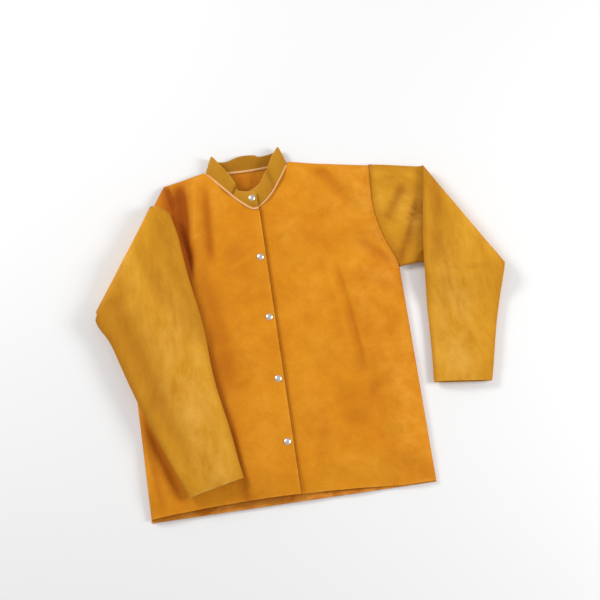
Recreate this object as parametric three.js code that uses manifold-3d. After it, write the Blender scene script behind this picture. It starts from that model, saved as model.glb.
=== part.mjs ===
// Leather welding jacket lying on its back, snapped shut, with both sleeves folded over at a crease.
// Millimetres, +Z up. The pattern is drawn with x = 0 on the wearer's centre line, y = 0 at the hem and
// +Y towards the collar; the finished group is then moved so that its origin is the middle of its base.
// "right" and "left" are the wearer's: the right front and right sleeve lie at negative x.
import * as THREE from "three";
import Module from "manifold-3d";
import { mergeVertices } from "three/addons/utils/BufferGeometryUtils.js";

const wasm = await Module();
wasm.setup();

// ---- Driving dimensions ----
const LEATHER = 1.3; // split cowhide
const COLLAR_LEATHER = 2.4; // the collar band is two layers of hide
const CLEAR = 0.4; // stacked pieces stay this far apart
const SEAM_GAP = 0.8; // pieces sewn edge to edge stay this far apart in plan

const HALF_WIDTH = 292; // half the chest and hem, laid flat
const NECK_HALF = 92;
const NECK_Y = 727; // where the shoulder seam meets the collar
const ARMHOLE_DEPTH = 267;
const ARMPIT_Y = NECK_Y - ARMHOLE_DEPTH;
const SHOULDER_TIP = new THREE.Vector2(HALF_WIDTH - 30, NECK_Y - 31);
const FRONT_NECK_DROP = 100;
const BACK_NECK_DROP = 7;
const HEM_LIFT = 20; // how far the front hem rides above the back hem
const HEM_LIFT_AT = -60;

const LEFT_TOP = 17; // top face of the left front
const LAP = 7; // how far the right front, which laps over it, lies above it
const RIGHT_TOP = LEFT_TOP + LAP;
const SIDE_ROLL = 16; // width over which a front rolls down to the side seam
const SHOULDER_ROLL = 34;
const SEAM_Z = 2.6; // top face of a front where it meets the back
const NECK_POINT_Z = 9; // the same at the collar end of the shoulder seam
const ARMPIT_SHARE = 0.62; // share of a front's rows below the armpit
const NECK_SHARE = 0.8; // share of a front's rows below the neck seam

const FRONT_EDGE_X = 15; // edge of the right front, past the centre line
const UNDERLAP_X = -20; // edge of the left front, under the right one
const FACING_WIDTH = 38;
const FACING_LEATHER = 1.1;
const HEM_TURN = 12; // the facings stop this far short of the hem
const RIGHT_HINGE_HEM_X = -75; // the right front bends open along a line from here...
const RIGHT_HINGE_NECK_X = -0.467 * NECK_HALF; // ...to here, at the crease in the collar
const LEFT_HINGE_HEM_X = 85;
const LEFT_HINGE_NECK_X = 0.674 * NECK_HALF;
const HINGE_GAP = 1.0;

const SNAP_X = 3;
const SNAP_FIRST_Y = 122;
const FRONT_SNAPS = 4; // one more snap closes the collar, in line with them
const COLLAR_SNAP_Y = NECK_Y - FRONT_NECK_DROP + 25;
const SNAP_PITCH = (COLLAR_SNAP_Y - SNAP_FIRST_Y) / FRONT_SNAPS;
const CAP_RADIUS = 7.6;
const CAP_HEIGHT = 2.4;
const SHANK_RADIUS = 2.3;
const SHANK_HOLE_RADIUS = 2.8;
const FLANGE_RADIUS = 5.6;
const FLANGE_HEIGHT = 0.7;
const SOCKET_RADIUS = 6.2;
const SOCKET_BORE_RADIUS = 3.6;
const KNOB_RADIUS = 3.0;
const KNOB_HEIGHT = 2.6;
const POST_RADIUS = 2.0;
const STUD_BASE = LEFT_TOP + 0.4;
const SOCKET_TOP = RIGHT_TOP - LEATHER - CLEAR - FACING_LEATHER - 0.4;
const POST_TOP = LEFT_TOP - LEATHER - CLEAR - FACING_LEATHER - 0.4;

const BINDING_WIDTH = 5;
const BINDING_THICKNESS = 1.2;
const COLLAR_HEIGHT = 41;
const COLLAR_TIP_X = 13;
const PEAK = {
  left: new THREE.Vector2(NECK_HALF - 19, NECK_Y + 32),
  right: new THREE.Vector2(23 - NECK_HALF, NECK_Y + 31),
};
const PEAK_Z = 15;
const BACK_COLLAR_RISE = 7;

const SLEEVE_END_HEIGHT = 4.4; // how thick a sleeve is where it narrows to its crease
const CREASE_ROLL = 20; // width over which a sleeve narrows to its crease
const RIM_SHARE = 0.12; // share of a sleeve's width taken by each rounded edge
const CREASE_GAP = 0.6;
const DROPPED_Z = 3; // the left sleeve comes down to this height past the edge of its upper part...
const DROP_LENGTH = 90; // ...over this length
const LEFT_CREASE_Z = LEFT_TOP + 3.6;
const RIGHT_CREASE_Z = RIGHT_TOP + 1.2;
// Each crease runs from the top edge of the sleeve to its underarm edge; x counts from the side seam.
const LEFT_CREASE = [
  new THREE.Vector2(HALF_WIDTH + 85, NECK_Y - 54),
  new THREE.Vector2(HALF_WIDTH + 220, ARMPIT_Y - 27),
];
const RIGHT_CREASE = [
  new THREE.Vector2(109 - HALF_WIDTH, NECK_Y - 16),
  new THREE.Vector2(-HALF_WIDTH - 62, ARMPIT_Y - 11),
];
// The top of the right armhole seam and the end of the right shoulder lie just inside the crease.
const RIGHT_NOTCH = new THREE.Vector2(87 - HALF_WIDTH, NECK_Y - 63);
const RIGHT_SHOULDER_END = new THREE.Vector2(114 - HALF_WIDTH, NECK_Y - 18);
const LEFT_CUFF = [new THREE.Vector2(HALF_WIDTH + 29, 203), new THREE.Vector2(HALF_WIDTH + 149, 189)];
const RIGHT_CUFF = [new THREE.Vector2(197 - HALF_WIDTH, 60), new THREE.Vector2(82 - HALF_WIDTH, 36)];
const SLEEVE_HEIGHT = 17; // a folded sleeve near its crease
const CUFF_HEIGHT = 14;

// ---- Materials ----
function material(color, roughness, metalness = 0) {
  return new THREE.MeshStandardMaterial({ color, roughness, metalness });
}

const bodyLeather = material(0xd98a1c, 0.8);
const sleeveLeather = material(0xcf9a2a, 0.82);
const collarLeather = material(0xcb9426, 0.82);
const facingLeather = material(0xb8741f, 0.9);
const bindingLeather = material(0xe8ac62, 0.75);
const nickel = material(0xd8d8d4, 0.25, 1);

const jacket = new THREE.Group();

function addNode(name, geometry, surface) {
  const mesh = new THREE.Mesh(geometry, surface);
  mesh.name = name;
  jacket.add(mesh);
  return mesh;
}

// ---- Small helpers ----
const mix = (a, b, t) => a + (b - a) * t;
const clamp01 = (t) => Math.min(1, Math.max(0, t));
const smooth = (t) => clamp01(t) ** 2 * (3 - 2 * clamp01(t));
const quarterRound = (t) => Math.sqrt(1 - (1 - clamp01(t)) ** 2);
const range = (n) => Array.from({ length: n + 1 }, (_, i) => i / n);
const lerp2 = (a, b, t) => new THREE.Vector2(mix(a.x, b.x, t), mix(a.y, b.y, t));

// Stations from 0 to 1 that crowd towards 0 over the first `roll` of `length`, where an edge is rolled.
function rolledStations(length, roll, rollSteps, flatSteps) {
  const share = Math.min(0.6, roll / length);
  const rolled = range(rollSteps).map((t) => share * (1 - Math.cos((t * Math.PI) / 2)));
  return rolled.concat(range(flatSteps).slice(1).map((t) => mix(share, 1, t)));
}

function indexedGeometry(points, triangles) {
  const geometry = new THREE.BufferGeometry();
  const coordinates = points.flatMap((p) => [p.x, p.y, p.z]);
  geometry.setAttribute("position", new THREE.Float32BufferAttribute(coordinates, 3));
  geometry.setIndex(triangles);
  return geometry;
}

function solidOf(geometry) {
  const merged = mergeVertices(bareOf(geometry), 1e-4);
  const triVerts = new Uint32Array(merged.index.array);
  const vertProperties = merged.attributes.position.array;
  return new wasm.Manifold(new wasm.Mesh({ numProp: 3, vertProperties, triVerts }));
}

function bareOf(geometry) {
  const bare = geometry.clone();
  bare.deleteAttribute("normal");
  bare.deleteAttribute("uv");
  return bare;
}

function geometryOf(solid) {
  const { vertProperties, triVerts } = solid.getMesh();
  const geometry = new THREE.BufferGeometry();
  geometry.setAttribute("position", new THREE.Float32BufferAttribute(vertProperties, 3));
  geometry.setIndex(new THREE.Uint32BufferAttribute(triVerts, 1));
  return geometry;
}

// A sheet of constant thickness under a grid of points on its upper face: grid[row][column], with columns
// running to +X and rows to +Y when seen from above.
function sheet(grid, thickness) {
  const rows = grid.length;
  const columns = grid[0].length;
  const at = (i, j) => grid[Math.min(rows - 1, Math.max(0, i))][Math.min(columns - 1, Math.max(0, j))];
  const lower = grid.map((row, i) =>
    row.map((point, j) => {
      const across = at(i, j + 1).clone().sub(at(i, j - 1));
      const along = at(i + 1, j).clone().sub(at(i - 1, j));
      return point.clone().addScaledVector(across.cross(along).normalize(), -thickness);
    }),
  );
  const points = grid.flat().concat(lower.flat());
  const below = rows * columns;
  const triangles = [];
  const quad = (a, b, c, d) => triangles.push(a, b, c, a, c, d);
  for (let i = 0; i < rows - 1; i++)
    for (let j = 0; j < columns - 1; j++) {
      const a = i * columns + j;
      quad(a, a + 1, a + columns + 1, a + columns);
      quad(below + a, below + a + columns, below + a + columns + 1, below + a + 1);
    }
  for (let j = 0; j < columns - 1; j++) {
    const last = (rows - 1) * columns + j;
    quad(j, below + j, below + j + 1, j + 1);
    quad(last + 1, below + last + 1, below + last, last);
  }
  for (let i = 0; i < rows - 1; i++) {
    const a = i * columns;
    const b = a + columns - 1;
    quad(a + columns, below + a + columns, below + a, a);
    quad(b, below + b, below + b + columns, b + columns);
  }
  return indexedGeometry(points, triangles);
}

// A flat plate: an outline in plan, raised to z and `thickness` thick, with round holes.
function plate(outline, z, thickness, holes = []) {
  const shape = new THREE.Shape(THREE.ShapeUtils.isClockWise(outline) ? outline.toReversed() : outline);
  for (const { x, y, radius } of holes) {
    shape.holes.push(new THREE.Path().absarc(x, y, radius, 0, 2 * Math.PI, true));
  }
  const settings = { depth: thickness, bevelEnabled: false, curveSegments: 8 };
  return new THREE.ExtrudeGeometry(shape, settings).translate(0, 0, z);
}

// ---- The pattern in plan ----
const signOf = { left: 1, right: -1 };
const topOf = { left: LEFT_TOP, right: RIGHT_TOP };
const neckPower = { left: 1.7, right: 1.2 };
const frontHemY = (x) => Math.max(2, HEM_LIFT * (1 - ((x - HEM_LIFT_AT) / 300) ** 2));
const backNeckY = (x) => NECK_Y - BACK_NECK_DROP * (1 - (x / NECK_HALF) ** 2);

// A front's neck seam falls from the shoulder to the centre and runs level past it.
function frontNeckY(x, side) {
  const out = clamp01((signOf[side] * x) / NECK_HALF);
  return NECK_Y - FRONT_NECK_DROP * (1 - out ** neckPower[side]);
}

// The armholes, as smooth curves from the armpit up to the shoulder.
const shoulderEnd = { left: SHOULDER_TIP, right: RIGHT_SHOULDER_END };
const armhole = {
  left: new THREE.SplineCurve([
    new THREE.Vector2(HALF_WIDTH, ARMPIT_Y),
    new THREE.Vector2(HALF_WIDTH - 25, mix(ARMPIT_Y, SHOULDER_TIP.y, 0.3)),
    new THREE.Vector2(SHOULDER_TIP.x - 6, mix(ARMPIT_Y, SHOULDER_TIP.y, 0.6)),
    SHOULDER_TIP,
  ]),
  right: new THREE.SplineCurve([
    new THREE.Vector2(-HALF_WIDTH, ARMPIT_Y),
    new THREE.Vector2(25 - HALF_WIDTH, mix(ARMPIT_Y, RIGHT_NOTCH.y, 0.35)),
    RIGHT_NOTCH,
  ]),
};

// The lines along which the fronts bend open, from the hem to the crease in the collar.
const hingeEnds = {
  right: [RIGHT_HINGE_HEM_X, RIGHT_HINGE_NECK_X],
  left: [LEFT_HINGE_HEM_X, LEFT_HINGE_NECK_X],
};
function hingeX(side, y) {
  const [hemX, neckX] = hingeEnds[side];
  return mix(hemX, neckX, y / frontNeckY(neckX, side));
}

// Height of a front's upper face: level in the middle, rolled down to its seams at the side and shoulder.
function frontZ(side, x, y) {
  const neck = new THREE.Vector2(signOf[side] * NECK_HALF, NECK_Y);
  const along = shoulderEnd[side].clone().sub(neck).normalize();
  const fromShoulder = Math.abs((x - neck.x) * along.y - (y - neck.y) * along.x);
  const fromSide = Math.hypot(HALF_WIDTH - Math.abs(x), Math.max(0, y - ARMPIT_Y));
  const roll = quarterRound(fromSide / SIDE_ROLL) * quarterRound(fromShoulder / SHOULDER_ROLL);
  const nearNeck = smooth(1 - neck.distanceTo(new THREE.Vector2(x, y)) / 60);
  return mix(mix(SEAM_Z, NECK_POINT_Z, nearNeck), topOf[side], roll);
}

// ---- Back and fronts ----
function backPanel() {
  const neck = range(10).map((t) => {
    const x = mix(NECK_HALF, -NECK_HALF, t);
    return new THREE.Vector2(x, backNeckY(x));
  });
  const outline = [
    new THREE.Vector2(-HALF_WIDTH, 0),
    new THREE.Vector2(HALF_WIDTH, 0),
    ...armhole.left.getPoints(9),
    ...neck,
    RIGHT_SHOULDER_END,
    ...armhole.right.getPoints(8).reverse(),
  ];
  return plate(outline, 0, LEATHER);
}

// The part of a front between its bending line and the side seam. Its rows run from the hem to the shoulder
// seam; each row runs from the bending line or the neck seam out to the side seam or the armhole.
function frontPanel(side) {
  const sign = signOf[side];
  const hemX = hingeX(side, 0);
  const neckX = hingeEnds[side][1];
  const bendEnd = frontNeckY(neckX, side);
  const inner = (t) => {
    const y = mix(frontHemY(hemX), bendEnd - SEAM_GAP, t / NECK_SHARE);
    if (t <= NECK_SHARE) return new THREE.Vector2(hingeX(side, y) + (sign * HINGE_GAP) / 2, y);
    const x = mix(neckX + (sign * HINGE_GAP) / 2, sign * NECK_HALF, (t - NECK_SHARE) / (1 - NECK_SHARE));
    return new THREE.Vector2(x, frontNeckY(x, side) - SEAM_GAP);
  };
  const outer = (t) => {
    const onArmhole = (t - ARMPIT_SHARE) / (1 - ARMPIT_SHARE);
    if (onArmhole <= 0) {
      const y = mix(frontHemY(sign * HALF_WIDTH), ARMPIT_Y, t / ARMPIT_SHARE);
      return new THREE.Vector2(sign * HALF_WIDTH, y);
    }
    return onArmhole < 1 ? armhole[side].getPoint(onArmhole) : shoulderEnd[side].clone();
  };
  const rows = [0, 0.15, 0.3, 0.45, ARMPIT_SHARE - 0.02, ARMPIT_SHARE, ARMPIT_SHARE + 0.05];
  rows.push(0.75, NECK_SHARE);
  for (const t of [0.2, 0.4, 0.55, 0.7, 0.8, 0.9, 0.96, 1]) rows.push(mix(NECK_SHARE, 1, t));
  const columns = rolledStations(HALF_WIDTH - Math.abs(hemX), SIDE_ROLL, 5, 7);
  const grid = rows.map((t) => {
    const row = columns.map((s) => {
      const p = lerp2(outer(t), inner(t), s);
      return new THREE.Vector3(p.x, p.y, frontZ(side, p.x, p.y));
    });
    return sign > 0 ? row.reverse() : row;
  });
  return sheet(grid, LEATHER);
}

// The outline of a piece of a front between two x positions, cut off at the bending line.
function flapOutline(side, fromX, toX, aboveHem = 0) {
  const inside = (x, y) => {
    const bend = hingeX(side, y) - (signOf[side] * HINGE_GAP) / 2;
    return side === "right" ? Math.max(x, bend) : Math.min(x, bend);
  };
  const bottom = range(4).map((t) => {
    const x = inside(mix(fromX, toX, t), 0);
    return new THREE.Vector2(x, frontHemY(x) + aboveHem);
  });
  const neck = range(10).map((t) => {
    const x = mix(toX, fromX, t);
    const y = frontNeckY(x, side) - SEAM_GAP;
    return new THREE.Vector2(inside(x, y), y);
  });
  return bottom.concat(neck);
}

function hemCorner(side) {
  const y = frontHemY(hingeX(side, 0));
  return new THREE.Vector2(hingeX(side, y) - (signOf[side] * HINGE_GAP) / 2, y);
}

const snapYs = range(FRONT_SNAPS).map((t) => SNAP_FIRST_Y + t * FRONT_SNAPS * SNAP_PITCH);
const holesAt = (ys) => ys.map((y) => ({ x: SNAP_X, y, radius: SHANK_HOLE_RADIUS }));
const frontHoles = holesAt(snapYs.slice(0, -1));
const collarHoles = holesAt(snapYs.slice(-1));

// The neck seam's corner at the bending line is shared by the flap's outline and the collar's.
const flaps = {
  right: flapOutline("right", RIGHT_HINGE_NECK_X, FRONT_EDGE_X),
  left: flapOutline("left", UNDERLAP_X, LEFT_HINGE_NECK_X),
};
flaps.right[0] = hemCorner("right");
flaps.left[4] = hemCorner("left");

// ---- Collar ----
// A band end lies flat, from the bending line to its rounded tip.
function collarEnd(side, tipX) {
  const inward = -signOf[side];
  const bendAt = (y) => hingeX(side, y) + (inward * HINGE_GAP) / 2;
  const neckX = hingeEnds[side][1];
  const footY = frontNeckY(neckX, side);
  const headY = footY + COLLAR_HEIGHT;
  const foot = range(6).map((t) => {
    const x = mix(bendAt(footY), tipX - inward * 6, t);
    return new THREE.Vector2(x, frontNeckY(x, side) + SEAM_GAP / 2);
  });
  const tip = new THREE.Vector2(tipX, frontNeckY(tipX, side) + 8);
  const tipHead = new THREE.Vector2(tipX, frontNeckY(tipX, side) + COLLAR_HEIGHT - 9);
  const head = range(6).map((t) => {
    const x = mix(tipX - inward * 9, bendAt(headY), t);
    return new THREE.Vector2(x, mix(frontNeckY(tipX, side) + COLLAR_HEIGHT, headY, t));
  });
  const outline = [...foot, tip, tipHead, ...head];
  return plate(outline, topOf[side] - COLLAR_LEATHER, COLLAR_LEATHER, collarHoles);
}

// The band from one bending line round the back of the neck to the other. Each column is a straight line
// from the neck seam (foot) to the band's free edge (head); the outer face is built and thickened inwards.
function collarSide(side) {
  const sign = signOf[side];
  const neckX = hingeEnds[side][1];
  const footY = frontNeckY(neckX, side);
  const columns = range(5).map((t) => {
    const x = mix(neckX, sign * (NECK_HALF - 9), t);
    const foot = new THREE.Vector3(x, frontNeckY(x, side) + 2.5 * SEAM_GAP, 0);
    foot.z = frontZ(side, foot.x, foot.y - 3.5 * SEAM_GAP);
    const headXY = lerp2(new THREE.Vector2(neckX, footY + COLLAR_HEIGHT), PEAK[side], t);
    return { foot, head: new THREE.Vector3(headXY.x, headXY.y, mix(topOf[side], PEAK_Z, t)) };
  });
  columns[0].foot.x = hingeX(side, columns[0].foot.y) + (sign * HINGE_GAP) / 2;
  columns[0].head.x = hingeX(side, columns[0].head.y) + (sign * HINGE_GAP) / 2;
  // The band turns over at the end of the shoulder seam, tight at its foot and open at its head.
  const before = columns[5];
  const after = backColumn(sign * (NECK_HALF - 9), PEAK[side], 0);
  for (const angle of [Math.PI / 4, Math.PI / 2, (3 * Math.PI) / 4]) {
    const down = (1 - Math.cos(angle)) / 2;
    const turn = (from, to) => {
      const p = from.clone().lerp(to, down);
      p.x += sign * 5 * Math.sin(angle);
      p.y += 2 * Math.sin(angle);
      return p;
    };
    columns.push({ foot: turn(before.foot, after.foot), head: turn(before.head, after.head) });
  }
  return columns;
}

// One column of the band behind the neck, where its outer face lies underneath.
function backColumn(x, head, rise) {
  return {
    foot: new THREE.Vector3(x, backNeckY(x) + 2 * SEAM_GAP, 0),
    head: new THREE.Vector3(head.x, head.y, 0.5 + rise),
  };
}

function collarBand() {
  const back = range(8).map((t) => {
    const x = mix(NECK_HALF - 9, 9 - NECK_HALF, t);
    const headX = mix(PEAK.left.x - 2, PEAK.right.x + 2, t);
    const waves = 5 * Math.sin(Math.PI * t) + 3 * Math.sin(5 * Math.PI * t);
    const headY = mix(PEAK.left.y, PEAK.right.y, t) - waves;
    return backColumn(x, new THREE.Vector2(headX, headY), BACK_COLLAR_RISE * Math.sin(Math.PI * t));
  });
  const columns = [...collarSide("left"), ...back, ...collarSide("right").reverse()];
  const grid = range(4).map((t) => columns.map(({ foot, head }) => foot.clone().lerp(head, t)));
  return sheet(grid, COLLAR_LEATHER);
}

// A narrow strip that covers the neck seam between two x positions.
function binding(side, fromX, toX, top = null) {
  const rows = [-BINDING_WIDTH / 2, BINDING_WIDTH / 2];
  const steps = range(8).map((t) => mix(fromX, toX, t));
  const grid = rows.map((off) =>
    steps.map((x) => {
      const y = (top ? backNeckY(x) : frontNeckY(x, side)) + off;
      const z = top ?? frontZ(side, x, frontNeckY(x, side) - BINDING_WIDTH) + CLEAR + BINDING_THICKNESS;
      return new THREE.Vector3(x, y, z);
    }),
  );
  return sheet(grid, BINDING_THICKNESS);
}

// ---- Sleeves ----
// Each sleeve piece is a flattened tube between two edges across it. `across(u, f)` gives the plan position
// at share u of the width and share f of the length; `heights(p)` gives the lowest and highest z there.
function tube(across, heights, lengthStations) {
  const rim = [0, 0.01, 0.04, 0.1, 0.18, 0.3, 0.42, 0.5];
  const widths = rim.concat(rim.slice(0, -1).map((t) => 1 - t).reverse());
  const ring = (f, inset) => {
    const side = (u, direction) => {
      const [a, b] = [across(0, f), across(1, f)];
      const full = b.distanceTo(a);
      const p = across(mix(inset / full, 1 - inset / full, u), f);
      const { low, high } = heights(p, f);
      const shape = quarterRound(Math.min(u, 1 - u) / RIM_SHARE);
      const half = (high - low) / 2 - inset;
      return new THREE.Vector3(p.x, p.y, (low + high) / 2 + direction * half * shape);
    };
    const upper = widths.map((u) => side(u, 1));
    const lower = widths.slice(1, -1).map((u) => side(u, -1)).reverse();
    return upper.concat(lower);
  };
  const rings = lengthStations.map((f) => ring(f, 0));
  rings.push(...lengthStations.map((f) => ring(f, LEATHER)).reverse());
  const around = rings[0].length;
  const triangles = [];
  for (let k = 0; k < rings.length; k++)
    for (let i = 0; i < around; i++) {
      const [a, b] = [k * around + i, k * around + ((i + 1) % around)];
      const next = ((k + 1) % rings.length) * around;
      const [c, d] = [next + ((i + 1) % around), next + i];
      triangles.push(a, b, c, a, c, d);
    }
  return facingOut(indexedGeometry(rings.flat(), triangles));
}

// Turns every triangle over if the solid is inside out.
function facingOut(geometry) {
  const { position } = geometry.attributes;
  const corner = (i) => new THREE.Vector3().fromBufferAttribute(position, geometry.index.getX(i));
  let volume = 0;
  for (let i = 0; i < geometry.index.count; i += 3) {
    volume += corner(i).dot(corner(i + 1).cross(corner(i + 2)));
  }
  if (volume < 0) geometry.setIndex(Array.from(geometry.index.array).reverse());
  return geometry;
}

const fromLine = (p, [a, b]) => {
  const along = b.clone().sub(a).normalize();
  return Math.abs((p.x - a.x) * along.y - (p.y - a.y) * along.x);
};

// Between the armhole and the crease: flat on the ground, rolled up to the crease.
function sleeveUpper(side, crease, creaseZ, seamCrease) {
  const sign = signOf[side];
  const top = creaseZ - CREASE_GAP / 2;
  const across = (u, f) => {
    const seam = armhole[side].getPoint(u);
    seam.x += sign * SEAM_GAP;
    return lerp2(seam, lerp2(seamCrease[1], seamCrease[0], u), f);
  };
  const heights = (p, f) => ({
    low: (top - SLEEVE_END_HEIGHT) * (1 - quarterRound(fromLine(p, crease) / CREASE_ROLL)),
    high: mix(topOf[side], top, smooth(f * 3)),
  });
  return tube(across, heights, [0, 0.12, 0.25, 0.4, 0.55, 0.7, 0.8, 0.87, 0.92, 0.95, 0.97, 0.985, 0.994]);
}

// From the crease to the cuff, lying on top of what is below and, past its edge, on the ground.
function sleeveLower(crease, creaseZ, cuff, bow, dropAt) {
  const bottom = creaseZ + CREASE_GAP / 2;
  const across = (u, f) => {
    const p = lerp2(lerp2(crease[0], crease[1], u), lerp2(cuff[0], cuff[1], u), f);
    p.x += bow * Math.sin(Math.PI * f) ** 2;
    return p;
  };
  const heights = (p, f) => {
    const low = mix(bottom, DROPPED_Z, dropAt ? smooth((dropAt - p.y) / DROP_LENGTH) : 0);
    const full = mix(SLEEVE_HEIGHT, CUFF_HEIGHT, f);
    const open = quarterRound(fromLine(p, crease) / CREASE_ROLL);
    return { low, high: low + mix(SLEEVE_END_HEIGHT, full, open) };
  };
  const stations = [0.001, 0.005, 0.012, 0.025, 0.045, 0.08, 0.2, 0.35, 0.5, 0.65, 0.8, 0.9, 1];
  return tube(across, heights, stations);
}

// ---- Snaps ----
// Every snap part is turned about the vertical from a profile of [radius, height] corners.
function turned(profile, y, z) {
  const points = profile.map(([r, h]) => new THREE.Vector2(r, h));
  const geometry = new THREE.LatheGeometry(points, 18).rotateX(Math.PI / 2).translate(SNAP_X, y, z);
  return facingOut(geometryOf(solidOf(facingOut(mergeVertices(bareOf(geometry), 1e-4)))));
}

function addSnap(index, y) {
  const capBase = RIGHT_TOP + CLEAR;
  const rim = CAP_HEIGHT * 0.3;
  const shankFoot = SOCKET_TOP - 0.4 - capBase;
  const cap = [
    [0, CAP_HEIGHT],
    [CAP_RADIUS * 0.45, CAP_HEIGHT * 0.93],
    [CAP_RADIUS * 0.8, CAP_HEIGHT * 0.7],
    [CAP_RADIUS, rim],
    [CAP_RADIUS, 0],
    [SHANK_RADIUS, 0],
    [SHANK_RADIUS, shankFoot],
    [0, shankFoot],
  ];
  addNode(`snap_cap_${index}`, turned(cap, y, capBase), nickel);
  const socketFoot = STUD_BASE + FLANGE_HEIGHT + 0.3;
  const depth = SOCKET_TOP - socketFoot;
  const socket = [
    [SOCKET_BORE_RADIUS, depth],
    [SOCKET_RADIUS, depth],
    [SOCKET_RADIUS, depth * 0.3],
    [SOCKET_RADIUS * 0.85, 0],
    [SOCKET_BORE_RADIUS, 0],
    [SOCKET_BORE_RADIUS, depth],
  ];
  addNode(`snap_socket_${index}`, turned(socket, y, socketFoot), nickel);
  const stud = [
    [0, KNOB_HEIGHT],
    [KNOB_RADIUS * 0.8, KNOB_HEIGHT],
    [KNOB_RADIUS, KNOB_HEIGHT * 0.8],
    [KNOB_RADIUS * 0.95, FLANGE_HEIGHT],
    [FLANGE_RADIUS, FLANGE_HEIGHT * 0.6],
    [FLANGE_RADIUS, 0],
    [POST_RADIUS + 0.3, 0],
    [POST_RADIUS + 0.3, KNOB_HEIGHT - 0.6],
    [0, KNOB_HEIGHT - 0.6],
  ];
  addNode(`snap_stud_${index}`, turned(stud, y, STUD_BASE), nickel);
  const postFoot = POST_TOP - FLANGE_HEIGHT;
  const postHead = STUD_BASE + KNOB_HEIGHT - 0.9 - postFoot;
  const post = [
    [0, postHead],
    [POST_RADIUS, postHead],
    [POST_RADIUS, FLANGE_HEIGHT],
    [FLANGE_RADIUS, FLANGE_HEIGHT],
    [FLANGE_RADIUS, 0],
    [0, 0],
  ];
  addNode(`snap_post_${index}`, turned(post, y, postFoot), nickel);
}

// ---- Assembly ----
addNode("back_panel", backPanel(), bodyLeather);
addNode("right_front_panel", frontPanel("right"), bodyLeather);
addNode("left_front_panel", frontPanel("left"), bodyLeather);
addNode("collar_band", collarBand(), collarLeather);
const bindEnd = NECK_HALF - 14;
const bindGap = HINGE_GAP / 2;
const rightBindHinge = RIGHT_HINGE_NECK_X - bindGap;
addNode("neck_binding_right_side", binding("right", -bindEnd, rightBindHinge), bindingLeather);
addNode("neck_binding_left_side", binding("left", LEFT_HINGE_NECK_X + bindGap, bindEnd), bindingLeather);
const tapeTop = COLLAR_LEATHER + CLEAR + BINDING_THICKNESS;
addNode("neck_tape_back", binding("back", 10 - bindEnd, bindEnd - 10, tapeTop), bindingLeather);

addNode("right_front_flap", plate(flaps.right, RIGHT_TOP - LEATHER, LEATHER, frontHoles), bodyLeather);
addNode("left_front_flap", plate(flaps.left, LEFT_TOP - LEATHER, LEATHER, frontHoles), bodyLeather);
const rightFacing = flapOutline("right", FRONT_EDGE_X - 1 - FACING_WIDTH, FRONT_EDGE_X - 1, HEM_TURN);
const leftFacing = flapOutline("left", UNDERLAP_X + 1, UNDERLAP_X + 1 + FACING_WIDTH, HEM_TURN);
const facingDrop = LEATHER + CLEAR + FACING_LEATHER;
const facingPlate = (outline, top) => plate(outline, top - facingDrop, FACING_LEATHER, frontHoles);
addNode("right_front_facing", facingPlate(rightFacing, RIGHT_TOP), facingLeather);
addNode("left_front_facing", facingPlate(leftFacing, LEFT_TOP), facingLeather);
addNode("collar_right_end", collarEnd("right", COLLAR_TIP_X), collarLeather);
addNode("collar_left_end", collarEnd("left", UNDERLAP_X), collarLeather);
addNode("neck_binding_right", binding("right", RIGHT_HINGE_NECK_X + bindGap, FRONT_EDGE_X), bindingLeather);
addNode("neck_binding_left", binding("left", UNDERLAP_X, LEFT_HINGE_NECK_X - bindGap), bindingLeather);
snapYs.forEach((y, i) => addSnap(i + 1, y));

const rightSeamCrease = [lerp2(RIGHT_CREASE[0], RIGHT_CREASE[1], 0.2), RIGHT_CREASE[1]];
const rightUpper = sleeveUpper("right", RIGHT_CREASE, RIGHT_CREASE_Z, rightSeamCrease);
addNode("right_sleeve_upper", rightUpper, sleeveLeather);
addNode("left_sleeve_upper", sleeveUpper("left", LEFT_CREASE, LEFT_CREASE_Z, LEFT_CREASE), sleeveLeather);
addNode("right_sleeve_lower", sleeveLower(RIGHT_CREASE, RIGHT_CREASE_Z, RIGHT_CUFF, -6, 0), sleeveLeather);
const dropAt = Math.min(ARMPIT_Y, LEFT_CREASE[1].y) - 12;
addNode("left_sleeve_lower", sleeveLower(LEFT_CREASE, LEFT_CREASE_Z, LEFT_CUFF, -4, dropAt), sleeveLeather);

// ---- Origin: the middle of the base of the whole jacket ----
const box = new THREE.Box3().setFromObject(jacket);
const middle = box.getCenter(new THREE.Vector3());
for (const mesh of jacket.children) {
  mesh.geometry.translate(-middle.x, -middle.y, -box.min.z);
  mesh.geometry.computeVertexNormals();
}

export default jacket;
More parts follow.
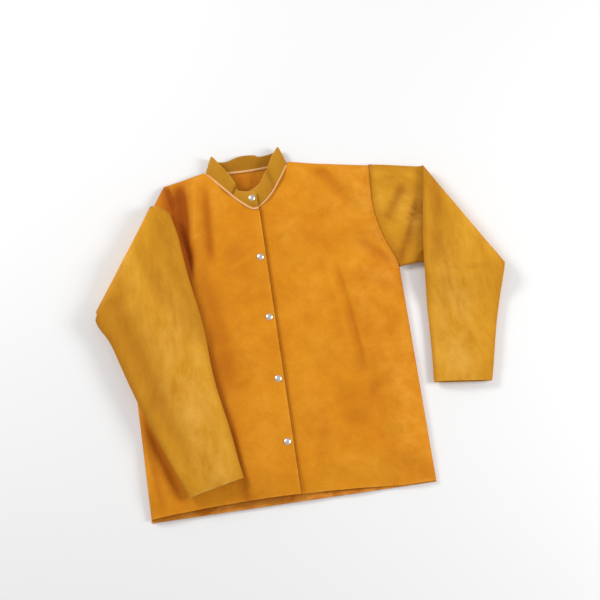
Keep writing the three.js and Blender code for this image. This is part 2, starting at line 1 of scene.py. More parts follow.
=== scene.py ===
import bpy, bmesh, math
import numpy as np
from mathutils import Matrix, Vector


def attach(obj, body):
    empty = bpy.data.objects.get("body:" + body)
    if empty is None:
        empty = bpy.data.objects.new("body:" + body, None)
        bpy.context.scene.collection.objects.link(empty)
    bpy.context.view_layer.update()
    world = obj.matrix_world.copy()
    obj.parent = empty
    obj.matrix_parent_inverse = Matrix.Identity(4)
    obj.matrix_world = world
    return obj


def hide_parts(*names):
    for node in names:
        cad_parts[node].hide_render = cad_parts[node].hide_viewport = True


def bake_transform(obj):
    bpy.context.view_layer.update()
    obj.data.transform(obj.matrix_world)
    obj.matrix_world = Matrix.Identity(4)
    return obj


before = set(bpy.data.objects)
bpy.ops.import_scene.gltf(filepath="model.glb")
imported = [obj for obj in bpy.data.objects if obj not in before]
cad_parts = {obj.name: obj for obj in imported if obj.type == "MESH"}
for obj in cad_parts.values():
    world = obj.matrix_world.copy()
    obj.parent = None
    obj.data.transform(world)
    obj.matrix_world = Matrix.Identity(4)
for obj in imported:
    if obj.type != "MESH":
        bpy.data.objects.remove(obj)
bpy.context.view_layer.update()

# ---- Pattern, in millimetres: x = 0 on the wearer's centre line, y = 0 at the hem, +Y to the collar ----
ORIGIN = np.array([79.0, 380.5, 0.0])  # the frame's origin in pattern coordinates
HALF, ARMPIT = 292.0, 460.0
RIGHT_TOP, LEFT_TOP = 24.0, 17.0
NECK_HALF, NECK_Y, FRONT_DROP, BACK_DROP = 92.0, 727.0, 100.0, 7.0
SIDE_ROLL, SHOULDER_ROLL, SEAM_Z = 26.0, 40.0, 2.4
FRONT_EDGE, UNDERLAP_EDGE = 15.0, -20.0
SNAP_X, SNAP_Y = 3.0, [122.0 + 132.5 * i for i in range(5)]
BACK_THICK, FRONT_THICK, FACING_THICK, COLLAR_THICK, SLEEVE_THICK = 1.25, 1.3, 1.1, 2.0, 1.3
DENSE = 1.0
# The rest is kept by side: 1 is the wearer's left (the photo's right) and -1 the wearer's right.
SIDE = {1: "left", -1: "right"}
BODY = {1: "left_flap", -1: "right_flap"}
TOP = {1: LEFT_TOP, -1: RIGHT_TOP}
EDGE = {1: UNDERLAP_EDGE, -1: FRONT_EDGE}
SHOULDER = {1: (262.0, 696.0), -1: (-180.0, 711.0)}
NECK_POWER = {1: 1.7, -1: 1.2}  # a higher power makes a rounder front neckline
CREASE = {1: ((377.0, 673.0), (512.0, 433.0)), -1: ((-183.0, 711.0), (-354.0, 449.0))}
CREASE_Z = {1: 20.6, -1: 25.2}
CUFF = {1: ((321.0, 203.0), (441.0, 189.0)), -1: ((-95.0, 60.0), (-210.0, 36.0))}


def m(p):
    return (np.asarray(p, float) - ORIGIN) / 1000


def smooth(t):
    t = np.clip(t, 0, 1)
    return t * t * (3 - 2 * t)


def quarter(t):
    return np.sqrt(1 - (1 - np.clip(t, 0, 1)) ** 2)


def mix(a, b, t):
    return a + (b - a) * t


def bump(d, width):
    """1 at a distance d of 0, falling away over the given width."""
    return np.exp(-((d / width) ** 2))


def distances(p):
    """The distance along a path of points to each of them."""
    return np.concatenate([[0], np.cumsum(np.linalg.norm(np.diff(p, axis=0), axis=1))])


def spline(points, n):
    """Points evenly spaced along a smooth curve through the given ones."""
    p = np.asarray(points, float)
    q = np.vstack([2 * p[0] - p[1], p, 2 * p[-1] - p[-2]])
    out = []
    for i in range(len(p) - 1):
        a, b, c, d = q[i : i + 4]
        squared, cubed = 2 * a - 5 * b + 4 * c - d, 3 * b - a - 3 * c + d
        for t in np.linspace(0, 1, 24, endpoint=False):
            out.append(0.5 * (2 * b + (c - a) * t + squared * t * t + cubed * t**3))
    out.append(p[-1])
    return resample(np.array(out), n)


def resample(points, n):
    p = np.asarray(points, float)
    s = distances(p)
    at = np.linspace(0, s[-1], n)
    return np.stack([np.interp(at, s, p[:, k]) for k in range(p.shape[1])], 1)


def coons(bottom, top, left, right, n, k):
    """A grid of n rows and k columns that fills the region between four edges."""
    b, t = resample(bottom, k)[None], resample(top, k)[None]
    l, r = resample(left, n)[:, None], resample(right, n)[:, None]
    u, v = np.linspace(0, 1, k)[None, :, None], np.linspace(0, 1, n)[:, None, None]
    corners = (1 - u) * (1 - v) * b[:, :1] + u * (1 - v) * b[:, -1:]
    corners = corners + (1 - u) * v * t[:, :1] + u * v * t[:, -1:]
    return (1 - v) * b + v * t + (1 - u) * l + u * r - corners


def swell(x, y, size, seed, octaves=5):
    """Gentle irregular undulation of about -1 to 1, with waves about `size` mm long."""
    rng = np.random.default_rng(seed)
    total = np.zeros(np.broadcast(x, y).shape)
    for _ in range(octaves):
        angle, phase = rng.uniform(0, math.tau, 2)
        k = math.tau / (size * rng.uniform(0.7, 1.5))
        total = total + np.sin(k * (x * math.cos(angle) + y * math.sin(angle)) + phase)
    return total / math.sqrt(octaves) / 1.2


def fold(x, y, a, b, width, height, skew=0.0, bow=0.0):
    """A ridge (or, with a negative height, a valley) from a to b, steeper on one side if skewed."""
    ax, ay = a
    dx, dy = b[0] - ax, b[1] - ay
    length = math.hypot(dx, dy)
    t = ((x - ax) * dx + (y - ay) * dy) / length**2
    d = ((x - ax) * dy - (y - ay) * dx) / length + bow * np.sin(math.pi * np.clip(t, 0, 1))
    ends = smooth((t + 0.12) / 0.34) * smooth((1.12 - t) / 0.34)
    return height * ends * bump(d, width * (1 + skew * np.tanh(d / width)))


def folds(x, y, listed):
    """The sum of the folds in a list of (from, to, width, height, skew, bow)."""
    return sum(fold(x, y, *one) for one in listed)


# ---- Meshes ----
def grid_faces(rows, cols, wrap=False):
    i, j = np.meshgrid(np.arange(rows - 1), np.arange(cols if wrap else cols - 1), indexing="ij")
    a, b = i * cols + j, i * cols + (j + 1) % cols
    return np.stack([a, b, b + cols, a + cols], -1).reshape(-1, 4)


def normals_of(p, wrap=False):
    across = (np.roll(p, -1, 1) - np.roll(p, 1, 1)) if wrap else np.gradient(p, axis=1)
    n = np.cross(across, np.gradient(p, axis=0))
    return n / np.maximum(np.linalg.norm(n, axis=2, keepdims=True), 1e-9)


def shell(name, p, thickness, material, wrap=False, uv=None, wear_and_painted_light=None, tone_and_painted_shade=None):
    """A leather sheet whose outer face is the grid p (rows, columns, xyz in mm), thickened inwards."""
    rows, cols = p.shape[:2]
    inner = p - normals_of(p, wrap) * thickness
    pts = np.vstack([m(p).reshape(-1, 3), m(inner).reshape(-1, 3)])
    top = grid_faces(rows, cols, wrap)
    faces = [top, top[:, ::-1] + rows * cols]
    n = rows * cols
    ring = np.arange(cols if wrap else cols - 1)
    nxt = (ring + 1) % cols
    last = (rows - 1) * cols
    faces.append(np.stack([ring, ring + n, nxt + n, nxt], -1))
    faces.append(np.stack([last + nxt, last + nxt + n, last + ring + n, last + ring], -1))
    if not wrap:
        up = np.arange(rows - 1) * cols
        faces.append(np.stack([up + cols, up + cols + n, up + n, up], -1))
        up = up + cols - 1
        faces.append(np.stack([up, up + n, up + cols + n, up + cols], -1))
    mesh = bpy.data.meshes.new(name)
    mesh.from_pydata(pts.tolist(), [], np.vstack(faces).tolist())
    flat = (p[..., :2] if uv is None else uv).reshape(-1, 2) / 1000
    flat = np.vstack([flat, flat])
    loops = np.empty(len(mesh.loops), np.int64)
    mesh.loops.foreach_get("vertex_index", loops)
    mesh.uv_layers.new(name="pattern").data.foreach_set("uv", flat[loops].astype(np.float32).ravel())
    # Per-vertex shares for the leather: paling for worn edges and painted light, darkening for random tone
    # and painted shade.
    for label, value in (("wear_and_painted_light", wear_and_painted_light), ("tone_and_painted_shade", tone_and_painted_shade)):
        value = np.zeros((rows, cols)) if value is None else np.broadcast_to(value, (rows, cols))
        both = np.concatenate([value.ravel(), value.ravel()]).astype(np.float32)
        mesh.attributes.new(label, "FLOAT", "POINT").data.foreach_set("value", both)
    return finish_mesh(name, mesh, material)


def finish_mesh(name, mesh, material, sharp=0.9):
    mesh.materials.append(material)
    bm = bmesh.new()
    bm.from_mesh(mesh)
    bmesh.ops.remove_doubles(bm, verts=bm.verts, dist=1e-6)
    for face in bm.faces:
        face.smooth = True
    for edge in bm.edges:
        edge.smooth = len(edge.link_faces) != 2 or edge.calc_face_angle(0) < sharp
    bm.to_mesh(mesh)
    bm.free()
    obj = bpy.data.objects.new(name, mesh)
    bpy.context.scene.collection.objects.link(obj)
    return obj


def lathe(name, profile, x, y, z, material, segments=40):
    """A turned part: profile is a closed loop of (radius, height) in mm."""
    mesh = bpy.data.meshes.new(name)
    angles = np.linspace(0, math.tau, segments, endpoint=False)
    turned = [(x + r * math.cos(a), y + r * math.sin(a), z + h) for r, h in profile for a in angles]
    faces = []
    for low in range(0, (len(profile) - 1) * segments, segments):
        high = low + segments
        for j in range(segments):
            n = (j + 1) % segments
            faces.append([low + j, low + n, high + n, high + j])
    mesh.from_pydata([m(p).tolist() for p in turned], [], faces)
    obj = finish_mesh(name, mesh, material, 0.6)
    bm = bmesh.new()
    bm.from_mesh(obj.data)
    bmesh.ops.remove_doubles(bm, verts=bm.verts, dist=1e-6)
    bmesh.ops.dissolve_degenerate(bm, edges=bm.edges, dist=1e-6)
    bmesh.ops.recalc_face_normals(bm, faces=bm.faces)
    bm.to_mesh(obj.data)
    bm.free()
    return obj


def threads(name, path, lift, material, pitch=4.2, length=3.0, radius=0.42):
    """A row of separate stitches lying along a path of points in mm."""
    p = np.asarray(path, float)
    s = distances(p)
    count = max(1, int(s[-1] / pitch))
    pts, faces = [], []
    ring = 6
    # Each ring of a stitch: its place along the length, its share of the radius, its rise in radii.
    shape = [(-0.5, 0.35, -0.5), (-0.35, 1.0, 0.1), (0.0, 1.15, 0.3), (0.35, 1.0, 0.1), (0.5, 0.35, -0.5)]
    for middle in (np.arange(count) + 0.5) * s[-1] / count:
        behind, centre, ahead = [
            np.array([np.interp(middle + step, s, p[:, k]) for k in range(3)]) for step in (-1.0, 0.0, 1.0)
        ]
        along = ahead - behind
        along /= max(np.linalg.norm(along), 1e-9)
        side = np.cross([0, 0, 1], along)
        side /= max(np.linalg.norm(side), 1e-9)
        up = np.cross(along, side)
        base = len(pts)
        for t, r, rise in shape:
            for a in np.linspace(0, math.tau, ring, endpoint=False):
                height = math.sin(a) * radius * r + rise * radius + lift
                offset = side * math.cos(a) * radius * r + up * height
                pts.append(m(centre + along * t * length + offset).tolist())
        last = base + (len(shape) - 1) * ring
        for low in range(base, last, ring):
            high = low + ring
            for j in range(ring):
                n = (j + 1) % ring
                faces.append([low + j, low + n, high + n, high + j])
        faces.append([base + j for j in range(ring)][::-1])
        faces.append([last + j for j in range(ring)])
    mesh = bpy.data.meshes.new(name)
    mesh.from_pydata(pts, [], faces)
    return finish_mesh(name, mesh, material, 2.5)


# ---- Materials ----
def nodes_of(name):
    material = bpy.data.materials.new(name)
    material.use_nodes = True
    tree = material.node_tree
    return material, tree, tree.nodes["Principled BSDF"]


def node(tree, kind, inputs=None, **settings):
    n = tree.nodes.new(kind)
    for key, value in settings.items():
        setattr(n, key, value)
    for key, value in (inputs or {}).items():
        if isinstance(value, bpy.types.NodeSocket):
            tree.links.new(value, n.inputs[key])
        else:
            n.inputs[key].default_value = value
    return n


def noise(tree, place, scale, detail, rough=0.5, distort=0.0):
    inputs = {"Vector": place, "Scale": scale, "Detail": detail, "Roughness": rough, "Distortion": distort}
    return node(tree, "ShaderNodeTexNoise", inputs).outputs["Fac"]


def remap(tree, value, low, high, out_low=0.0, out_high=1.0):
    return node(tree, "ShaderNodeMapRange", {0: value, 1: low, 2: high, 3: out_low, 4: out_high}).outputs[0]


def arithmetic(tree, a, b, operation):
    return node(tree, "ShaderNodeMath", {0: a, 1: b}, operation=operation).outputs[0]


def weighted(tree, *parts):
    """The sum of the given pairs of value and weight."""
    total = None
    for value, weight in parts:
        scaled = arithmetic(tree, value, weight, "MULTIPLY")
        total = scaled if total is None else arithmetic(tree, total, scaled, "ADD")
    return total


def grey(tree, value):
    return node(tree, "ShaderNodeCombineColor", {0: value, 1: value, 2: value}).outputs[0]


def mixed(tree, share, a, b, blend="MIX"):
    inputs = {"Fac": share, "Color1": a, "Color2": b}
    return node(tree, "ShaderNodeMixRGB", inputs, blend_type=blend).outputs[0]


def leather(name, light, mid, dark, seed, grain=1.0, stretch=1.0):
    """Split cowhide: mottled dye, a fine nap, pores and slight creases, paler rubbed edges, and painted
    shade and painted highlights from two vertex attributes.
    """
    material, tree, shader = nodes_of(name)
    uv = node(tree, "ShaderNodeUVMap", uv_map="pattern").outputs["UV"]
    mapping = {"Vector": uv, "Location": (seed * 1.7, seed * 0.9, seed * 0.3), "Scale": (1.0, stretch, 1.0)}
    place = node(tree, "ShaderNodeMapping", mapping).outputs[0]
    blotch = noise(tree, place, 7.0, 4.0, 0.55, 0.6)
    cloud = noise(tree, place, 38.0, 5.0, 0.6, 0.3)
    weave = noise(tree, place, 170.0, 4.0, 0.7)
    nap = noise(tree, place, 620.0, 3.0, 0.65)
    mottled = weighted(tree, (blotch, 0.5), (cloud, 0.36), (weave, 0.14))
    ramp = node(tree, "ShaderNodeValToRGB", {"Fac": mottled})
    stops = ramp.color_ramp.elements
    stops[0].position, stops[0].color = 0.34, (*dark, 1)
    stops[1].position, stops[1].color = 0.66, (*light, 1)
    centre = stops.new(0.5)
    centre.color = (*mid, 1)
    # The darkening attribute is painted shade with a little random tone; the paling one is rubbed wear with
    # painted highlights and painted light.
    tone_and_painted_shade = node(tree, "ShaderNodeAttribute", attribute_name="tone_and_painted_shade").outputs["Fac"]
    wear_and_painted_light = node(tree, "ShaderNodeAttribute", attribute_name="wear_and_painted_light").outputs["Fac"]
    shade = (dark[0] * 0.60, dark[1] * 0.42, dark[2] * 0.4, 1)
    pale = (min(1, light[0] * 1.14), light[1] * 1.3, light[2] * 4.0, 1)
    colour = mixed(tree, tone_and_painted_shade, ramp.outputs["Color"], shade)
    wear_and_light_share = arithmetic(tree, wear_and_painted_light, 0.55, "MULTIPLY")
    wear_and_light_share = arithmetic(tree, wear_and_light_share, remap(tree, cloud, 0.35, 0.7), "MULTIPLY")
    colour = mixed(tree, wear_and_light_share, colour, pale)
    speck = grey(tree, remap(tree, nap, 0.3, 0.7, 0.9, 1.07))
    tree.links.new(mixed(tree, 1.0, colour, speck, "MULTIPLY"), shader.inputs["Base Color"])
    tree.links.new(remap(tree, cloud, 0.3, 0.7, 0.74, 0.9), shader.inputs["Roughness"])
    shader.inputs["Sheen Weight"].default_value = 0.06
    shader.inputs["Sheen Roughness"].default_value = 0.45
    shader.inputs["Sheen Tint"].default_value = (1.0, 0.62, 0.2, 1)
    shader.inputs["Specular IOR Level"].default_value = 0.18
    pores = node(tree, "ShaderNodeTexVoronoi", {"Vector": place, "Scale": 420.0}).outputs["Distance"]
    surface = weighted(tree, (nap, 0.5), (pores, 0.35), (weave, 0.8))
    fine = node(tree, "ShaderNodeBump", {"Height": surface, "Strength": 0.35 * grain, "Distance": 0.0006})
    creases = noise(tree, place, 24.0, 6.0, 0.62, 0.9)
    rumple = node(tree, "ShaderNodeBump", {"Height": creases, "Strength": 0.3 * grain, "Distance": 0.006})
    tree.links.new(rumple.outputs[0], fine.inputs["Normal"])
    tree.links.new(fine.outputs[0], shader.inputs["Normal"])
    return material


def plain(name, colour, roughness, metallic=0.0, bump_scale=300.0, strength=0.2, vary=0.15):
    """One colour that varies a little, with a fine bump."""
    material, tree, shader = nodes_of(name)
    where = node(tree, "ShaderNodeTexCoord").outputs["Object"]
    speckle = noise(tree, where, bump_scale, 4.0)
    shade = grey(tree, remap(tree, speckle, 0.3, 0.7, 1 - vary, 1 + vary))
    tree.links.new(mixed(tree, 1.0, (*colour, 1), shade, "MULTIPLY"), shader.inputs["Base Color"])
    gloss = remap(tree, speckle, 0.3, 0.7, roughness * 0.7, roughness * 1.3)
    tree.links.new(gloss, shader.inputs["Roughness"])
    shader.inputs["Metallic"].default_value = metallic
    surface = node(tree, "ShaderNodeBump", {"Height": speckle, "Strength": strength, "Distance": 0.0004})
    tree.links.new(surface.outputs[0], shader.inputs["Normal"])
    return material


# Each leather has a light, a middle and a dark dye.
body_dye = (0.83, 0.34, 0.018), (0.75, 0.275, 0.007), (0.67, 0.215, 0.004)
sleeve_dye = (0.78, 0.385, 0.030), (0.68, 0.305, 0.014), (0.56, 0.225, 0.007)
collar_dye = (0.62, 0.29, 0.02), (0.53, 0.235, 0.010), (0.44, 0.17, 0.007)
# The back's dyes are darker than the fronts': painted shade for the inside of the back, which shows through
# the neck and under the front hem.
shaded_back_dye = (0.74, 0.27, 0.014), (0.60, 0.19, 0.006), (0.48, 0.13, 0.004)
facing_dye = (0.60, 0.27, 0.05), (0.50, 0.20, 0.03), (0.40, 0.14, 0.02)
body_leather = leather("body_leather", *body_dye, seed=1)
sleeve_leather = leather("sleeve_leather", *sleeve_dye, seed=4, stretch=0.45)
collar_leather = leather("collar_leather", *collar_dye, seed=7)
shaded_back_leather = leather("shaded_back_leather", *shaded_back_dye, seed=9, grain=1.3)
facing_leather = leather("facing_leather", *facing_dye, seed=11, grain=1.3)
binding_leather = plain("binding_leather", (0.80, 0.44, 0.17), 0.75, 0.0, 500.0, 0.5, 0.12)
thread = plain("thread", (0.80, 0.42, 0.10), 0.8, 0.0, 900.0, 0.4)
seam_thread = plain("seam_thread", (0.90, 0.58, 0.30), 0.8, 0.0, 900.0, 0.4)
nickel = plain("nickel", (0.86, 0.84, 0.79), 0.3, 1.0, 700.0, 0.12, 0.06)


# ---- The pattern's curves ----
def front_neck(s, x):
    out = np.clip(s * np.asarray(x, float) / NECK_HALF, 0, 1)
    return NECK_Y - FRONT_DROP * (1 - out ** NECK_POWER[s])


def back_neck(x):
    return NECK_Y - BACK_DROP * (1 - (x / NECK_HALF) ** 2)


def hem(x):
    return np.maximum(2, 15 * (1 - ((np.asarray(x, float) + 60) / 300) ** 2))


def armhole(s, n=60):
    if s > 0:
        return spline([(HALF, ARMPIT), (267, 531), (256, 602), SHOULDER[1]], n)
    return spline([(-HALF, ARMPIT), (-267, 531), (-208, 666)], n)


def from_line(x, y, line):
    (x0, y0), (x1, y1) = line
    length = math.hypot(x1 - x0, y1 - y0)
    return np.abs((x - x0) * (y1 - y0) - (y - y0) * (x1 - x0)) / length


def from_shoulder(s, x, y):
    return from_line(x, y, ((s * NECK_HALF, NECK_Y), SHOULDER[s]))


def droop(y):
    """The fronts sag on to the back near the hem, where nothing holds them up."""
    return 10.0 * (1 - smooth(np.asarray(y, float) / 70))


def front_z(s, x, y):
    """The height of a front without its folds: flat, and rolled down to the seams."""
    from_side = np.hypot(HALF - np.abs(x), np.maximum(0, y - ARMPIT))
    roll = quarter(from_side / SIDE_ROLL) * quarter(from_shoulder(s, x, y) / SHOULDER_ROLL)
    if s < 0:
        corner = armhole(-1)[-1]
        from_corner = np.hypot(from_line(x, y, (corner, SHOULDER[-1])), np.maximum(0, corner[1] - y))
        roll = roll * mix(0.35, 1.0, quarter(from_corner / 22))
    near_neck = smooth(1 - np.hypot(x - s * NECK_HALF, y - NECK_Y) / 60)
    top = TOP[s] - droop(y) * smooth(roll)
    return mix(mix(SEAM_Z, 9.0, near_neck), top, roll)


# ---- Folds of the fronts: from, to, width, height, skew, bow ----
RIGHT_FRONT_FOLDS = [
    ((-147, 712), (-151, 500), 16, -13.0, 0.3),
    ((-107, 722), (-134, 560), 11, 8.0, -0.3),
    ((-176, 708), (-164, 650), 6, -6.0, 0.3),
    ((-186, 706), (-178, 650), 6, 3.0),
    ((-92, 690), (-102, 520), 11, -6.0, 0.3),
    ((-78, 690), (-74, 560), 16, 2.4),
    ((-128, 540), (-92, 240), 20, -4.0),
    ((-84, 470), (-50, 300), 26, 2.6),
    ((-60, 560), (-22, 450), 22, -2.2),
    ((-60, 330), (-30, 190), 26, 2.2),
    ((-70, 500), (-14, 520), 8, 1.8),
    ((-90, 240), (-30, 270), 9, -2.0),
    ((-206, 20), (-292, 262), 20, -9.0),
]
LEFT_FRONT_FOLDS = [
    ((142, 722), (216, 590), 17, -5.5, 0.35),
    ((172, 726), (246, 596), 19, 5.0, -0.3),
    ((112, 716), (176, 600), 20, 4.4),
    ((155, 490), (180, 250), 10, -5.0, 0.4, 3.0),
    ((196, 500), (216, 250), 24, 4.6),
    ((138, 490), (162, 270), 12, 3.4, -0.3, 3.0),
    ((290, 450), (214, 530), 11, -5.0),
    ((284, 424), (206, 470), 14, 3.8),
    ((236, 260), (256, 50), 26, 4.0),
    ((204, 220), (212, 40), 20, -3.6),
    ((66, 620), (140, 460), 30, 3.0),
    ((90, 560), (150, 430), 22, -2.6),
    ((50, 250), (110, 80), 30, 2.6),
    ((90, 300), (150, 120), 24, -2.4),
    ((40, 560), (104, 590), 7, 1.6),
    ((210, 400), (250, 350), 9, -2.2),
    ((100, 400), (150, 430), 9, 1.8),
    ((180, 200), (244, 236), 10, -2.0),
]
# The same list form, with a share of painted shade in place of the height; a negative share is a painted
# highlight.
RIGHT_FRONT_PAINTED_SHADE = [
    ((-146, 712), (-150, 470), 15, 0.36),
    ((-94, 690), (-102, 530), 9, 0.28),
    ((-176, 708), (-164, 650), 6, 0.4),
    ((-107, 722), (-134, 560), 12, -0.35),
    ((-206, 20), (-292, 262), 26, 0.25),
    ((-264, 14), (-286, 220), 9, 0.35),
    ((-280, 10), (-291, 150), 8, -0.3),
]


def sleeve_inner_edge(y):
    """Where the folded right sleeve's inner edge lies on the right front."""
    return np.interp(y, [60, 711], [-95, -183])


def sleeve_outer_edge(y):
    return np.interp(y, [36, 449], [-210, -354])


def relief(s, x, y):
    """Folds and undulation of a front, pinned at the snaps and under the folded sleeve."""
    if s < 0:
        z = folds(x, y, RIGHT_FRONT_FOLDS) + 1.6 * swell(x, y, 170, 3) + 0.9 * swell(x, y, 60, 8)
        free = smooth((x - sleeve_inner_edge(y) + 4) / 16)
        z = z * np.maximum(free, smooth((sleeve_outer_edge(y) - x) / 16)) - 1.2 * (1 - free)
        return z * (smooth(np.abs(x - SNAP_X - 4) / 40) * 0.8 + 0.2)
    z = folds(x, y, LEFT_FRONT_FOLDS) + 1.8 * swell(x, y, 180, 5) + 0.8 * swell(x, y, 64, 12)
    return z * smooth((x - 20) / 34)


def bend(obj):
    """Bakes obj's placement into its mesh."""
    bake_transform(obj)


# ---- Back ----
def back_grid():
    n, k = int(150 * DENSE), int(130 * DENSE)
    hem_line = [(-HALF, 0), (HALF, 0)]
    neck = [(x, back_neck(x)) for x in np.linspace(-NECK_HALF, NECK_HALF, 30)]
    top = [SHOULDER[-1], *neck, SHOULDER[1]]
    left = np.vstack([[(-HALF, 0)], armhole(-1), [SHOULDER[-1]]])
    right = np.vstack([[(HALF, 0)], armhole(1)])
    plan = coons(hem_line, top, left, right, n, k)
    x, y = plan[..., 0], plan[..., 1]
    z = BACK_THICK + 0.1 + 0.25 * (1 + swell(x, y, 90, 21))
    hem_curl = (3.2 + swell(x, y, 130, 22)) * (1 - smooth(y / 14)) * smooth((HALF - np.abs(x)) / 40)
    return np.dstack([plan, z + hem_curl])


back_plan = back_grid()
# Painted light on the back's strip near the hem, which lies in the front hem's shadow.
hem_painted_light = 1.6 * (1 - smooth(back_plan[..., 1] / 40))
back = shell("back_panel_leather", back_plan, BACK_THICK, shaded_back_leather, wear_and_painted_light=hem_painted_light)
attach(back, "jacket_body")
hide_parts("back_panel")


# ---- Fronts ----
def front_plan(s):
    xs = np.linspace(EDGE[s], s * HALF, 60)
    neck_x = np.linspace(0, s * NECK_HALF, 40)
    neck = np.stack([neck_x, front_neck(s, neck_x) - 0.4], 1)
    edge = [(EDGE[s], float(hem(EDGE[s]))), (EDGE[s], NECK_Y - FRONT_DROP - 0.4)]
    outer = np.vstack([[(s * HALF, float(hem(s * HALF)))], armhole(s)])
    if s < 0:
        outer = np.vstack([outer, [SHOULDER[-1]]])
    top = [(s * NECK_HALF, NECK_Y - 0.4), SHOULDER[s]]
    rows, columns = int(300 * DENSE), int(160 * DENSE)
    return coons(np.stack([xs, hem(xs)], 1), top, np.vstack([edge, neck]), outer, rows, columns)


def front_grid(s):
    """A front's grid with its paler places (worn edges, a paler armhole band and painted highlight) and its
    darker ones (painted shade and a little random tone).
    """
    plan = front_plan(s)
    x, y = plan[..., 0], plan[..., 1]
    from_side = HALF - np.abs(x)
    from_edge = np.abs(x - EDGE[s])
    from_armhole = np.abs(plan - plan[:, -1:]).sum(2)
    above = smooth((y - ARMPIT + 10) / 30)  # 1 along the armhole, 0 along the side seam
    shape = relief(s, x, y) * smooth(from_side / 30) * smooth(from_shoulder(s, x, y) / 22)
    shape = shape * mix(1.0, smooth(from_armhole / 26), above)
    z = front_z(s, x, y) + shape + 1.0 * above * bump(from_armhole, 4.0)
    wear_and_painted_light = np.maximum(np.exp(-from_edge / 2.2), np.exp(-np.abs(y - hem(x)) / 2.2) * 0.8)
    wear_and_painted_light = np.maximum(wear_and_painted_light, 0.3 * np.clip(shape / 5, 0, 1))
    # Painted shade in the valleys of the folds and along the side seam; the next line adds a little random
    # tone.
    tone_and_painted_shade = np.clip(-shape / 16, 0, 0.5) + 0.3 * bump(from_side, 2.5)
    tone_and_painted_shade = tone_and_painted_shade + 0.05 * (1 + swell(x, y, 200, 31 + s))
    if s > 0:
        # Painted highlight towards the side, a paler band 15 mm inside the armhole, and the painted shadow
        # cast by the right front's edge on this front.
        wear_and_painted_light = wear_and_painted_light + 0.25 * smooth(1 - from_side / 150) + 0.5 * above * bump(from_armhole - 15, 9)
        tone_and_painted_shade = tone_and_painted_shade + 0.4 * bump(x - FRONT_EDGE - 0.5, 2.6) + 0.1 * bump(x - FRONT_EDGE, 16)
        return [np.dstack([plan, z]), wear_and_painted_light, tone_and_painted_shade]
    z = z + 0.5 * np.sin(y / 21.0) * bump(from_edge, 14)
    beside_sleeve = x - sleeve_inner_edge(y)
    # Painted shadow of the folded sleeve along its inner edge.
    tone_and_painted_shade = tone_and_painted_shade + 0.4 * bump(beside_sleeve, 10) + 0.16 * bump(beside_sleeve, 50)
    # Painted shade over the shoulder beside the sleeve.
    tone_and_painted_shade = tone_and_painted_shade + 0.15 * smooth((y - 520) / 120) * smooth((-x - 70) / 60)
    # Painted shade and painted highlights along the folds.
    tone_and_painted_shade = tone_and_painted_shade + folds(x, y, RIGHT_FRONT_PAINTED_SHADE)
    return [g[:, ::-1] for g in (np.dstack([plan, z]), wear_and_painted_light, tone_and_painted_shade)]


for s in (-1, 1):
    p, wear_and_painted_light, tone_and_painted_shade = front_grid(s)
    front = shell(f"{SIDE[s]}_front_leather", p, FRONT_THICK, body_leather, wear_and_painted_light=wear_and_painted_light, tone_and_painted_shade=tone_and_painted_shade)
    bend(front)
    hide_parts(f"{SIDE[s]}_front_panel", f"{SIDE[s]}_front_flap")


# ---- Facings behind the front edges ----
FACING_REACH = {1: 39, -1: 38}  # from the front edge to the facing's inner edge


def facing(s):
    xs = np.linspace(*sorted((EDGE[s] + s, EDGE[s] + s * FACING_REACH[s])), 14)
    up = np.linspace(0, 1, int(150 * DENSE))[:, None]
    low, high = hem(xs)[None] + 12, front_neck(s, xs)[None] - 1.2
    x, y = np.broadcast_to(xs, (len(up), len(xs))), mix(low, high, up)
    z = TOP[s] - 1.85 - droop(y) + relief(s, x, y)
    obj = shell(f"{SIDE[s]}_facing_leather", np.dstack([x, y, z]), FACING_THICK, facing_leather)
    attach(obj, BODY[s])
    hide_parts(f"{SIDE[s]}_front_facing")


facing(-1)
facing(1)

# ---- Collar: a right and a left part, and one behind the neck ----
# Each column is (foot, head): a point on the neck seam and one on the band's free edge, outer face.
BAND = {
    -1: [
        ((13.5, 628.5, 23.9), (13.5, 666, 23.9)),
        ((0, 629.2, 24.1), (2, 667, 24.2)),
        ((-20, 645, 24.2), (-16, 670, 24.2)),
        ((-35, 660, 24.2), (-25, 675, 24.2)),
        ((-41, 667, 24.8), (-28, 688.5, 29.5)),
        ((-54, 682, 25.2), (-41, 714, 31.0)),
        ((-70, 701.5, 22.5), (-56, 737, 29.0)),
        ((-83, 718.5, 14.5), (-68.5, 757, 21.0)),
        ((-88.5, 724.5, 7.5), (-73, 760, 12.0)),
        ((-86, 728.3, 2.2), (-67, 755, 5.0)),
        ((-70, 726.5, 0.4), (-55, 749, 3.0)),
        ((-40, 724, 0.1), (-38, 747.5, 5.5)),
        ((-15, 722.3, 0.1), (-13, 754, 8.0)),
    ],
    1: [
        ((-19, 628.5, 16.8), (-18, 666, 16.8)),
        ((0, 629.2, 17.0), (1, 671, 17.0)),
        ((23, 638.5, 17.4), (22, 683, 19.0)),
        ((45, 657.5, 18.8), (36, 702, 24.0)),
        ((62, 679.5, 20.0), (46, 717, 27.0)),
        ((74, 697.5, 19.0), (57, 737, 27.0)),
        ((84, 715, 14.0), (71.5, 758, 21.0)),
        ((89, 723.5, 7.5), (76, 761.5, 12.0)),
        ((86, 728.3, 2.2), (71, 756, 5.0)),
        ((66, 726.3, 0.4), (54, 751.5, 3.0)),
        ((40, 724, 0.1), (32, 748.5, 5.5)),
        ((20, 722.5, 0.1), (18, 753.5, 7.5)),
    ],
}
SIDE_COLUMN = {1: 8, -1: 9}  # how many of the columns reach the side of the neck
COLLAR_HEIGHT, TIP_ROUNDING = 40, 9


